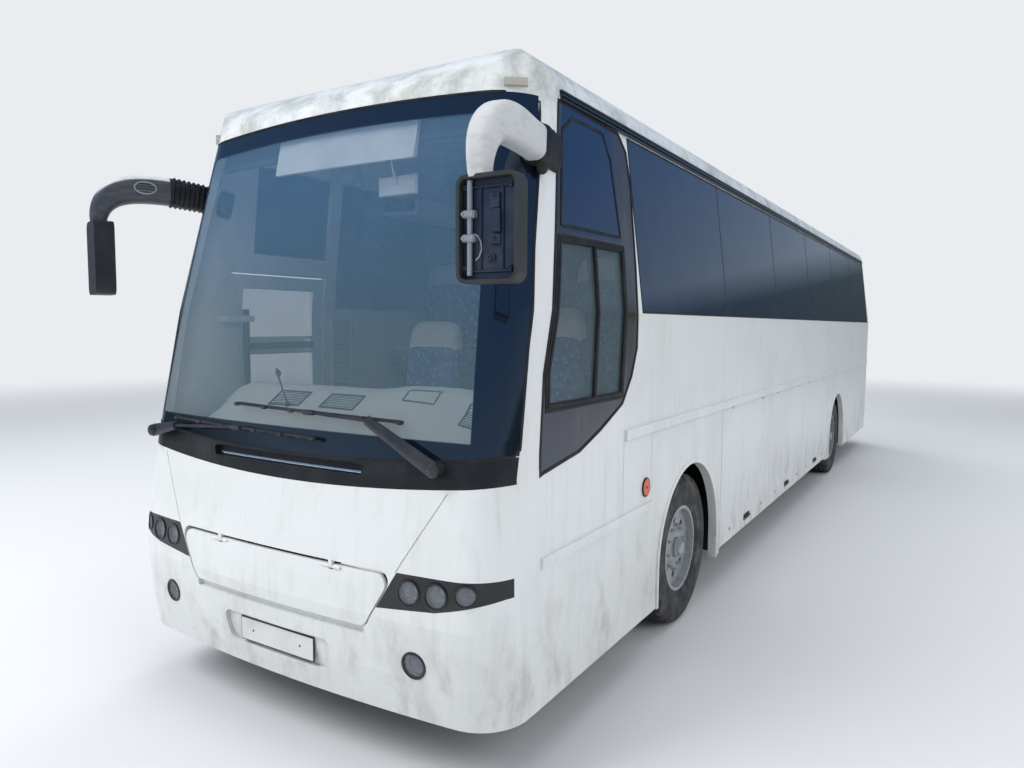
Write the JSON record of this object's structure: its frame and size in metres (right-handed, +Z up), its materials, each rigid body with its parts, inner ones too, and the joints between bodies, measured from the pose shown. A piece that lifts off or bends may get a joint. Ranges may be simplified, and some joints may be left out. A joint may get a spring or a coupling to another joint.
{
  "type": "coach bus",
  "caption": "Long white touring coach with flat tinted side glass, curved windscreen, swept-down driver window, arm mirrors, opening luggage flaps and steered front wheels.",
  "frame": {"origin": "on the ground under the middle of the body", "axes": "+Z up, the front faces -Y, +X is the bus's left side, where the driver sits"},
  "size_m": [2.9957, 12.3654, 3.53],
  "materials": {
    "white_paint": "weathered",
    "dark_steel": "plain",
    "floor_grey": "plain",
    "black_plastic": "plain",
    "tinted_glass": "plain",
    "clear_glass": "plain",
    "mirror_glass": "plain",
    "lens_clear": "plain",
    "lens_red": "plain",
    "dash_grey": "plain",
    "seat_fabric": "plain",
    "rubber": "plain",
    "tyre": "plain",
    "rim_paint": "plain",
    "engine_iron": "plain"
  },
  "bodies": {
    "bus": {"body_glass": "tinted_glass", "cab_seats": "seat_fabric", "chassis_frame": "dark_steel", "cowl_panel": "black_plastic", "dashboard": "dash_grey", "driver_sash_panes": "clear_glass", "driver_window_frame": "black_plastic", "driver_window_glass": "tinted_glass", "engine_block": "engine_iron", "floor": "floor_grey", "front_axle": "dark_steel", "front_bumper": "white_paint", "front_shell": "white_paint", "gutter_rails": "black_plastic", "headlamp_panels": "black_plastic", "lamp_lenses": "lens_clear", "luggage_bays": "dark_steel", "luggage_racks": "dash_grey", "mirror_arms": "white_paint", "mirror_glasses": "mirror_glass", "mirror_heads": "black_plastic", "passenger_seats": "seat_fabric", "rear_axle": "dark_steel", "rear_wall": "white_paint", "roof": "white_paint", "roof_hatches": "white_paint", "seat_bases": "dark_steel", "side_wall_left": "white_paint", "side_wall_right": "white_paint", "steering_wheel": "black_plastic", "tail_lamps": "lens_red", "wheel_housings": "black_plastic", "windscreen": "clear_glass", "wipers": "black_plastic"},
    "front_flap": {"front_flap": "white_paint"},
    "engine_hood": {"engine_hood": "white_paint"},
    "door_arm": {"front_door_arm": "dark_steel"},
    "door_leaf": {"front_door_leaf": "white_paint", "front_door_glass": "tinted_glass"},
    "knuckle_left": {"knuckle_left": "dark_steel"},
    "front_wheel_left": {"front_rim_left": "rim_paint", "front_tyre_left": "tyre"},
    "rear_wheels_left": {"rear_rims_left": "rim_paint", "rear_tyres_left": "tyre"},
    "flap_1_left": {"luggage_flap_1_left": "white_paint"},
    "flap_2_left": {"luggage_flap_2_left": "white_paint"},
    "flap_3_left": {"luggage_flap_3_left": "white_paint"},
    "knuckle_right": {"knuckle_right": "dark_steel"},
    "front_wheel_right": {"front_rim_right": "rim_paint", "front_tyre_right": "tyre"},
    "rear_wheels_right": {"rear_rims_right": "rim_paint", "rear_tyres_right": "tyre"},
    "flap_1_right": {"luggage_flap_1_right": "white_paint"},
    "flap_2_right": {"luggage_flap_2_right": "white_paint"},
    "flap_3_right": {"luggage_flap_3_right": "white_paint"}
  },
  "joints": [
    {"name": "front_flap_hinge", "type": "hinge", "parent": "bus", "child": "front_flap", "pos_m": [0, -6.128, 0.945], "axis": [-1, 0, 0], "range_deg": [0, 80]},
    {"name": "engine_hood_hinge", "type": "hinge", "parent": "bus", "child": "engine_hood", "pos_m": [0, 6.147, 1.353], "axis": [1, 0, 0], "range_deg": [0, 80]},
    {"name": "door_arm_hinge", "type": "hinge", "parent": "bus", "child": "door_arm", "pos_m": [-1.165, -5.33, 1.2], "axis": [0, 0, 1], "range_deg": [0, 100]},
    {"name": "door_leaf_hinge", "type": "hinge", "parent": "door_arm", "child": "door_leaf", "pos_m": [-1.165, -4.78, 1.2], "axis": [0, 0, 1], "range_deg": [-100, 0]},
    {"name": "steering_left", "type": "hinge", "parent": "bus", "child": "knuckle_left", "pos_m": [0.85, -3.6, 0.52], "axis": [0, 0, 1], "range_deg": [-38, 38]},
    {"name": "front_wheel_left_spin", "type": "hinge", "parent": "knuckle_left", "child": "front_wheel_left", "pos_m": [1.09, -3.6, 0.52], "axis": [1, 0, 0], "continuous": true},
    {"name": "rear_wheels_left_spin", "type": "hinge", "parent": "bus", "child": "rear_wheels_left", "pos_m": [0.9, 2.75, 0.52], "axis": [1, 0, 0], "continuous": true},
    {"name": "luggage_flap_1_left_hinge", "type": "hinge", "parent": "bus", "child": "flap_1_left", "pos_m": [1.275, -2.065, 1.421], "axis": [0, -1, 0], "range_deg": [0, 85]},
    {"name": "luggage_flap_2_left_hinge", "type": "hinge", "parent": "bus", "child": "flap_2_left", "pos_m": [1.275, -0.465, 1.421], "axis": [0, -1, 0], "range_deg": [0, 85]},
    {"name": "luggage_flap_3_left_hinge", "type": "hinge", "parent": "bus", "child": "flap_3_left", "pos_m": [1.275, 1.135, 1.421], "axis": [0, -1, 0], "range_deg": [0, 85]},
    {"name": "steering_right", "type": "hinge", "parent": "bus", "child": "knuckle_right", "pos_m": [-0.85, -3.6, 0.52], "axis": [0, 0, 1], "range_deg": [-38, 38]},
    {"name": "front_wheel_right_spin", "type": "hinge", "parent": "knuckle_right", "child": "front_wheel_right", "pos_m": [-1.09, -3.6, 0.52], "axis": [1, 0, 0], "continuous": true},
    {"name": "rear_wheels_right_spin", "type": "hinge", "parent": "bus", "child": "rear_wheels_right", "pos_m": [-0.9, 2.75, 0.52], "axis": [1, 0, 0], "continuous": true},
    {"name": "luggage_flap_1_right_hinge", "type": "hinge", "parent": "bus", "child": "flap_1_right", "pos_m": [-1.275, -2.065, 1.421], "axis": [0, 1, 0], "range_deg": [0, 85]},
    {"name": "luggage_flap_2_right_hinge", "type": "hinge", "parent": "bus", "child": "flap_2_right", "pos_m": [-1.275, -0.465, 1.421], "axis": [0, 1, 0], "range_deg": [0, 85]},
    {"name": "luggage_flap_3_right_hinge", "type": "hinge", "parent": "bus", "child": "flap_3_right", "pos_m": [-1.275, 1.135, 1.421], "axis": [0, 1, 0], "range_deg": [0, 85]}
  ],
  "couplings": [
    {"joint": "steering_right", "follows": "steering_left", "ratio": 1},
    {"joint": "door_leaf_hinge", "follows": "door_arm_hinge", "ratio": -1}
  ]
}
